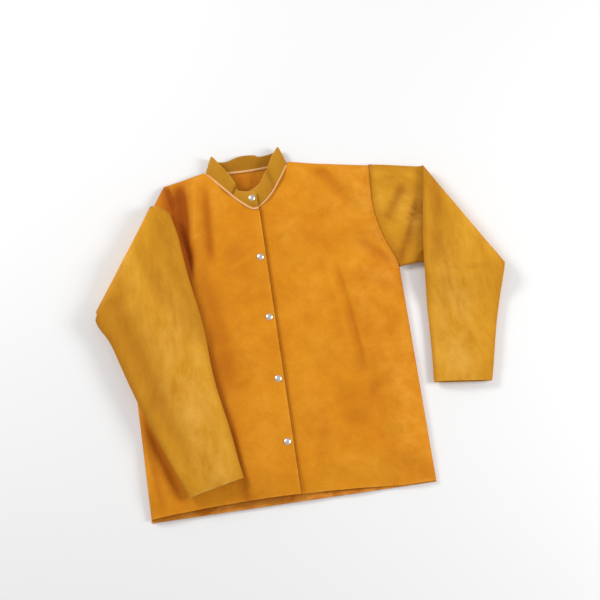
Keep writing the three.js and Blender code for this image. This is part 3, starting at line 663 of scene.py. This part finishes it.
def collar_grid(columns, k, rounded, crease=(0, 1, 0)):
    """crease is (distance from the tip, width, depth); only a rounded part has a tip."""
    both = spline([[*foot, *head] for foot, head in columns], k)
    foot, head = both[:, :3], both[:, 3:]
    from_tip = distances(foot)
    round_off = np.zeros(k)
    if rounded:
        round_off = TIP_ROUNDING * (1 - quarter(from_tip / TIP_ROUNDING)) / COLLAR_HEIGHT
    v = np.linspace(0, 1, 22)[:, None] * (1 - 1.5 * round_off)[None] + 0.5 * round_off[None]
    p = foot[None] * (1 - v[..., None]) + head[None] * v[..., None]
    ripple = 0.5 * swell(p[..., 0], p[..., 1], 34, 50) * smooth(from_tip / 40)[None]
    p[..., 2] += (0.9 * np.sin(math.pi * v) + ripple) if rounded else 0.2
    p[..., 2] = np.maximum(p[..., 2], 0.02)
    wear_and_painted_light = np.exp(-(1 - v) * COLLAR_HEIGHT / 2.0)
    if rounded:
        wear_and_painted_light = np.maximum(wear_and_painted_light, np.exp(-from_tip / 2.0)[None] * np.ones_like(v))
    at, width, depth = crease
    groove = bump(from_tip - at, width)[None]
    p[..., 2] -= 1.2 * depth * groove * np.sin(math.pi * np.clip(v, 0, 1))
    # Painted shade: the piece behind the neck is darker all over, and the crease darker by its depth; the
    # rounded pieces get only a little even tone.
    tone_and_painted_shade = np.full(v.shape, 0.05 if rounded else 0.3) + depth * groove
    uv = np.dstack([np.broadcast_to(from_tip, v.shape), v * COLLAR_HEIGHT])
    return [p, wear_and_painted_light, tone_and_painted_shade, uv]


def collar_piece(name, columns, k, rounded, flip, crease=(0, 1, 0)):
    grids = collar_grid(columns, int(k * DENSE), rounded, crease)
    p, wear_and_painted_light, tone_and_painted_shade, uv = [g[:, ::-1] for g in grids] if flip else grids
    band = shell(name, p, COLLAR_THICK, collar_leather, wear_and_painted_light=wear_and_painted_light, tone_and_painted_shade=tone_and_painted_shade, uv=uv)
    return band


def piping(name, path, width, height, material):
    """A narrow strip of leather with a rounded back, along a path of points in mm."""
    q = spline(path, int(160 * DENSE))
    along = np.gradient(q, axis=0)
    along /= np.linalg.norm(along, axis=1, keepdims=True)
    side = np.cross(along, [0, 0, 1.0])
    side /= np.linalg.norm(side, axis=1, keepdims=True)
    a = np.linspace(0, math.tau, 14, endpoint=False)
    across, up = np.cos(a) * width / 2, np.sign(np.sin(a)) * np.abs(np.sin(a)) ** 0.7 * height / 2
    p = q[:, None] + side[:, None] * across[None, :, None]
    p[..., 2] += up[None]
    if normals_of(p, True)[len(q) // 2, 3, 2] < 0:
        p = p[:, ::-1]
    s = distances(q)
    uv = np.dstack([np.broadcast_to(a * width / 4, p.shape[:2]), np.broadcast_to(s[:, None], p.shape[:2])])
    return shell(name, p, height * 0.3, material, wrap=True, uv=uv)


def collar_side(s, crease, start_shift, binding_width):
    """One side of the collar with the binding and the stitches at its foot."""
    columns = BAND[s][: SIDE_COLUMN[s]]
    band = collar_piece(f"{SIDE[s]}_collar_leather", columns, 120, True, s < 0, crease)
    bend(band)
    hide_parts(f"collar_{SIDE[s]}_end", "collar_band")
    feet = np.array([foot for foot, _ in columns], float)
    line = np.vstack([[feet[0] + (start_shift, 0, 0)], feet[1:]]) + (0, -0.9, 0.9)
    strip = piping(f"neck_piping_{SIDE[s]}", line, binding_width, 2.0, binding_leather)
    bend(strip)
    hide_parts(f"neck_binding_{SIDE[s]}", f"neck_binding_{SIDE[s]}_side")
    on_top = spline(line, 300) + (0, 0, 0.9)
    stitch = threads(f"neck_stitches_{SIDE[s]}", on_top, 0.1, seam_thread, 4.0, 2.8, 0.38)
    bend(stitch)


behind = BAND[-1][SIDE_COLUMN[-1] - 1 :] + BAND[1][SIDE_COLUMN[1] - 1 :][::-1]
band = collar_piece("back_collar_leather", behind, 150, False, True)
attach(band, "jacket_body")
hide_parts("collar_band")
collar_side(-1, (66, 2.6, 0.75), 1.0, 4.8)
collar_side(1, (89, 9, 0.35), -0.6, 3.6)
tape_line = [(x, back_neck(x) + 1.0, 3.3) for x in np.linspace(-70, 70, 9)]
tape = piping("neck_tape_inside", tape_line, 5.2, 1.6, binding_leather)
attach(tape, "jacket_body")
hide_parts("neck_tape_back")
tape_stitch = threads("neck_tape_stitches", spline(tape_line, 200) + (0, 0, 0.75), 0.1, seam_thread)
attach(tape_stitch, "jacket_body")


# ---- Sleeves: each one is a flattened tube above its crease and one below it ----
CREASE_ROLL = 21.0  # width over which a sleeve narrows to its crease


def short_of_crease(s, gap=1.2):
    """The crease, moved so that each part of the sleeve stops a little before it."""
    (x0, y0), (x1, y1) = CREASE[s]
    length = math.hypot(x1 - x0, y1 - y0)
    dx, dy = s * gap * (y1 - y0) / length, -s * gap * (x1 - x0) / length
    return (x0 + dx, y0 + dy), (x1 + dx, y1 + dy)


FOLD = {s: short_of_crease(s) for s in (-1, 1)}


def tube(name, across, heights, bumps, rows, square, painted_shade_of):
    """A flattened sleeve. across(u, f) is the plan position at share u of the width and f of the
    length, heights gives its under and upper face, and a higher square makes its section boxier."""
    rows, around = int(rows * DENSE), int(168 * DENSE)
    a = np.linspace(0, math.tau, around, endpoint=False)[None]
    power = 2 / square
    u = 0.5 - 0.5 * np.sign(np.cos(a)) * np.abs(np.cos(a)) ** power
    w = np.sign(np.sin(a)) * np.abs(np.sin(a)) ** power
    f = np.linspace(0, 1, rows)[:, None] ** 1.25
    u, w, f = [np.broadcast_to(each, (rows, around)) for each in (u, w, f)]
    x, y = across(u, f)
    low, high = heights(x, y, f, u)
    shape = bumps(x, y, f) * np.clip(w, 0, 1) ** 0.5 * (w > 0)
    room = np.clip((high - low) / 12, 0, 1)
    z = (low + high) / 2 + (high - low) / 2 * w + shape * room
    p = np.dstack([x, y, z])
    other = slice(around // 2, around // 2 + 1)
    width = np.hypot(x[:, :1] - x[:, other], y[:, :1] - y[:, other])
    length = np.cumsum(np.r_[0, np.hypot(*np.diff(np.stack([x[:, 0], y[:, 0]]), axis=1))])[:, None]
    uv = np.dstack([u * width + (w < 0) * 400, np.broadcast_to(length, u.shape)])
    cuff = np.exp(-((1 - f) * length[-1, 0]) / 2.2)
    # Painted highlight in a band along the middle of the sleeve.
    painted_highlight_band = 0.7 * bump(u - 0.42, 0.26) * smooth((f - 0.1) / 0.5)
    wear_and_painted_light = np.maximum(np.maximum(cuff, painted_highlight_band), 0.3 * np.clip(shape / 5, 0, 1))
    # Painted shade in the valleys of the folds, plus the sleeve's own painted shade.
    tone_and_painted_shade = np.clip(-shape / 16, 0, 0.4) + painted_shade_of(x, y, f, u)
    grids = [p, wear_and_painted_light, tone_and_painted_shade, uv]
    top = np.argmax(w[rows // 2])
    if normals_of(p, True)[rows // 2, top, 2] < 0:
        grids = [g[:, ::-1] for g in grids]
    p, wear_and_painted_light, tone_and_painted_shade, uv = grids
    return shell(name, p, SLEEVE_THICK, sleeve_leather, wrap=True, uv=uv, wear_and_painted_light=wear_and_painted_light, tone_and_painted_shade=tone_and_painted_shade)


# Folds of the sleeves, in the same form as those of the fronts.
LEFT_UPPER_FOLDS = [
    ((292, 462), (352, 600), 9, -4.0, 0.3),
    ((300, 450), (322, 560), 7, 2.6),
    ((306, 452), (400, 560), 10, 2.4),
    ((276, 560), (330, 640), 10, -3.0),
    ((262, 650), (338, 662), 9, -2.0),
    ((330, 470), (440, 500), 11, -2.4),
]
# Painted shade along the folds under the arm, with a share of painted shade in place of the height.
LEFT_UPPER_PAINTED_SHADE = [
    ((292, 462), (352, 600), 9, 0.45),
    ((276, 560), (330, 640), 11, 0.35),
    ((300, 452), (400, 480), 9, 0.45),
    ((350, 474), (364, 604), 9, 0.6),
]
LEFT_LOWER_FOLDS = [
    ((378, 668), (352, 470), 10, 1.6),
    ((392, 640), (372, 440), 15, -2.6, 0.3),
    ((382, 438), (482, 436), 4.5, 1.3),
    ((384, 428), (486, 426), 7, -1.6),
    ((440, 560), (400, 330), 24, 2.4),
    ((470, 500), (420, 420), 16, -1.8),
    ((352, 380), (345, 240), 14, -1.6),
    ((430, 400), (402, 230), 18, 1.6),
]
RIGHT_LOWER_FOLDS = [
    ((-290, 590), (-160, 90), 22, 5.6, 0.3),
    ((-318, 480), (-196, 100), 18, -4.8),
    ((-190, 620), (-146, 330), 16, -4.4),
    ((-258, 590), (-196, 420), 14, -4.0),
    ((-338, 452), (-250, 480), 12, -1.8, 0.3),
    ((-336, 424), (-262, 436), 14, 1.8),
    ((-170, 360), (-118, 120), 22, 2.2),
    ((-228, 250), (-176, 90), 16, 1.8),
]


def upper_sleeve(s):
    seam = armhole(s, 200)
    (tx, ty), (ex, ey) = FOLD[s]
    if s < 0:
        tx, ty = mix(tx, ex, 0.18), mix(ty, ey, 0.18)
    top = CREASE_Z[s] - 0.1

    def across(u, f):
        at = np.linspace(0, 1, len(seam))
        sx, sy = np.interp(u, at, seam[:, 0]) + s * 0.8, np.interp(u, at, seam[:, 1])
        tuck = 9 * np.sin(math.pi * np.clip(f / 0.55, 0, 1)) * (1 - u) ** 4 * (s > 0)
        return mix(sx, mix(ex, tx, u), f), mix(sy, mix(ey, ty, u), f) + tuck

    def heights(x, y, f, u):
        low = (top - 0.2) * (1 - quarter(from_line(x, y, FOLD[s]) / CREASE_ROLL))
        return low, mix(TOP[s] - 1.2, top, smooth(f * 2.4))

    def bumps(x, y, f):
        if s < 0:
            return 0.4 * swell(x, y, 50, 61)
        z = folds(x, y, LEFT_UPPER_FOLDS) + 0.8 * swell(x, y, 70, 62)
        return np.minimum(1.4 * z, 0.6) * smooth(f / 0.1)

    def shade(x, y, f, u):
        # Painted shade near the armhole seam and along the sleeve's edge on the shoulder side; the left
        # sleeve adds painted shade along its folds.
        seam_side = 0.4 * (1 - smooth(f / 0.12)) + 0.25 * bump(1 - u, 0.05)
        return seam_side if s < 0 else seam_side + folds(x, y, LEFT_UPPER_PAINTED_SHADE)

    obj = tube(f"{SIDE[s]}_sleeve_upper_leather", across, heights, bumps, 110, 3.4, shade)
    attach(obj, "jacket_body")
    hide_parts(f"{SIDE[s]}_sleeve_upper")


def lower_sleeve(s):
    (tx, ty), (ex, ey) = FOLD[s]
    (ax, ay), (bx, by) = CUFF[s]
    bottom = CREASE_Z[s] + 0.1

    def on_crease(t):
        return mix(tx, ex, t), mix(ty, ey, t)

    start = np.array([on_crease(0), on_crease(1)])
    if s < 0:
        corner = [(-173, 640), (-186, 652), (-198, 661), (-207, 662), on_crease(0.21)]
        along_crease = [on_crease(t) for t in (0.22, 0.6, 1)]
        start = np.vstack([spline(corner, 30), spline(along_crease, 90)])
    share = np.linspace(0, 1, len(start))

    def straight(u, f):
        """Where a straight-sided sleeve would start and be, at share u of the width and f of the length."""
        x0, y0 = np.interp(u, share, start[:, 0]), np.interp(u, share, start[:, 1])
        return x0, y0, mix(x0, mix(ax, bx, u), f), mix(y0, mix(ay, by, u), f)

    def across(u, f):
        _, _, x, y = straight(u, f)
        if s > 0:
            x = x - 9 * np.sin(math.pi * f**0.8) ** 2 * (1 - u) - 3 * np.sin(math.pi * f) ** 2 * u
            return x, y
        rounded = bump(f - 0.07, 0.07) * smooth(f / 0.05)
        x = x - 10 * rounded * u**3 - 7 * np.sin(math.pi * f) ** 2 * u
        wave = 3 * np.sin(2 * math.pi * f) + 2.0 * np.sin(5 * math.pi * f + 1)
        return x + wave * (1 - u) * smooth(f / 0.1) * smooth((1 - f) / 0.1), y

    def heights(x, y, f, u):
        x0, y0, x1, y1 = straight(u, f)
        away = np.minimum(np.hypot(x1 - x0, y1 - y0), from_line(x1, y1, FOLD[s]))
        if s > 0:
            low = mix(bottom, 2.0, smooth((436 - y) / 80))
            full = mix(20.5, 17.0, f)
        else:
            low = bottom - 0.85 * droop(y)
            full = mix(20.5, 16.0, f)
        return low, low + 0.2 + full * quarter(away / CREASE_ROLL)

    def bumps(x, y, f):
        if s > 0:
            return folds(x, y, LEFT_LOWER_FOLDS) + 1.0 * swell(x, y, 110, 71) + 0.5 * swell(x, y, 44, 73)
        return folds(x, y, RIGHT_LOWER_FOLDS) + 0.9 * swell(x, y, 130, 81) + 0.4 * swell(x, y, 46, 83)

    def darker(x, y, f, u):
        # Painted shade along the sleeve's rolled edges, near the crease on the left sleeve, and over half
        # the width near the crease on the right sleeve.
        far_side = 0.3 * bump(1 - u, 0.05)
        if s > 0:
            crease = 0.2 * bump(u - 0.16, 0.1) * (1 - smooth((f - 0.2) / 0.3))
            return crease + 0.3 * bump(u, 0.05) + far_side
        outer = 0.22 * smooth((u - 0.5) / 0.4) * (1 - smooth((f - 0.5) / 0.4))
        return outer + 0.3 * bump(u, 0.06) + far_side

    rows = 300 if s < 0 else 230
    obj = tube(f"{SIDE[s]}_sleeve_lower_leather", across, heights, bumps, rows, 2.7, darker)
    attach(obj, f"{SIDE[s]}_forearm")
    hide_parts(f"{SIDE[s]}_sleeve_lower")


for s in (-1, 1):
    upper_sleeve(s)
    lower_sleeve(s)

# ---- Armhole seams: one row of stitches on the body just inside each seam ----
STITCH_INSET = 5.0
for s in (-1, 1):
    seam = armhole(s, 240)[14:-10]
    x, y = seam[:, 0] - s * STITCH_INSET, seam[:, 1]
    on = np.stack([x, y, front_z(s, x, y) + bump(STITCH_INSET, 4.0)], 1)
    row = threads(f"armhole_stitches_{SIDE[s]}", on, 0.25, thread)
    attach(row, "jacket_body")

# ---- Snaps: turned profiles of (radius, height) ----
CAP_EDGE = [(7.6, 0.3), (7.55, 0.1), (7.3, 0.0), (2.3, 0.0)]
CAP_DOME = [(0.01, 3.3), (1.6, 3.22), (3.2, 2.94), (4.8, 2.42), (6.1, 1.72), (7.0, 1.0), (7.45, 0.5)]
SOCKET = [(3.5, 2.3), (6.0, 2.3), (6.2, 2.1), (6.2, 0.9), (5.6, 0.2), (4.3, 0.0), (3.7, 0.1), (3.5, 0.5)]
STUD_NECK = [(0.01, 2.55), (2.2, 2.55), (2.8, 2.3), (3.0, 1.8), (2.75, 1.1), (2.8, 0.7)]
STUD_PLATE = [(5.3, 0.6), (5.6, 0.35), (5.6, 0.0), (2.3, 0.0), (2.3, 2.0), (0.01, 2.0)]
POST_PIN = [(0.01, 5.6), (1.7, 5.6), (2.0, 5.3), (2.0, 0.7)]
POST_PLATE = [(5.2, 0.7), (5.6, 0.45), (5.6, 0.2), (5.3, 0.0), (0.01, 0.0)]
SOCKET_Z, STUD_Z, POST_Z = 18.5, 17.4, 13.2


def add_snap(i, y):
    lift = float(relief(-1, np.array(SNAP_X), np.array(y))) * 0.9
    cap_z = RIGHT_TOP + lift + 0.1
    foot = RIGHT_TOP - 3.6 - cap_z
    parts = [
        ("cap", CAP_DOME + CAP_EDGE + [(2.3, foot), (0.01, foot)], cap_z, -1),
        ("socket", SOCKET + SOCKET[:1], SOCKET_Z, -1),
        ("stud", STUD_NECK + STUD_PLATE, STUD_Z, 1),
        ("post", POST_PIN + POST_PLATE, POST_Z, 1),
    ]
    for kind, profile, z, s in parts:
        obj = lathe(f"snap_{kind}_metal_{i}", profile, SNAP_X, y, z, nickel)
        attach(obj, BODY[s])
        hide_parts(f"snap_{kind}_{i}")


for i, y in enumerate(SNAP_Y):
    add_snap(i + 1, y)

# ---- Stage, light and camera ----
floor_material, tree, shader = nodes_of("floor_paper")
shader.inputs["Base Color"].default_value = (0.93, 0.93, 0.93, 1)
shader.inputs["Roughness"].default_value = 0.9
shader.inputs["Specular IOR Level"].default_value = 0.1
bpy.ops.mesh.primitive_plane_add(size=12, location=(0, 0, -0.0005))
floor = bpy.context.object
floor.name = "floor"
floor.data.materials.append(floor_material)


def area_light(name, place, size, power, colour=(1, 1, 1)):
    data = bpy.data.lights.new(name, "AREA")
    data.shape, data.size, data.energy, data.color = "DISK", size, power, colour
    obj = bpy.data.objects.new(name, data)
    obj.location = place
    obj.rotation_euler = (-Vector(place)).to_track_quat("-Z", "Y").to_euler()
    bpy.context.scene.collection.objects.link(obj)


area_light("key", (-1.9, 1.6, 1.7), 1.0, 43)
area_light("side", (2.2, -0.3, 1.6), 1.2, 37)
world = bpy.data.worlds.new("studio")
world.use_nodes = True
world.node_tree.nodes["Background"].inputs["Color"].default_value = (1, 1, 1, 1)
world.node_tree.nodes["Background"].inputs["Strength"].default_value = 0.47
bpy.context.scene.world = world
bpy.context.scene.view_settings.view_transform = "Standard"

camera_data = bpy.data.cameras.new("camera")
camera_data.lens, camera_data.sensor_width = 85.3, 36.0
camera = bpy.data.objects.new("camera", camera_data)
bpy.context.scene.collection.objects.link(camera)
target = Vector(m((72.6, 419.9, 0)).tolist())
azimuth, elevation, distance = math.radians(-8.4), math.radians(75), 3.0
level = math.cos(elevation)
away = Vector((math.sin(azimuth) * level, -math.cos(azimuth) * level, math.sin(elevation)))
camera.location = target + away * distance
camera.rotation_euler = away.to_track_quat("Z", "Y").to_euler()
bpy.context.scene.camera = camera
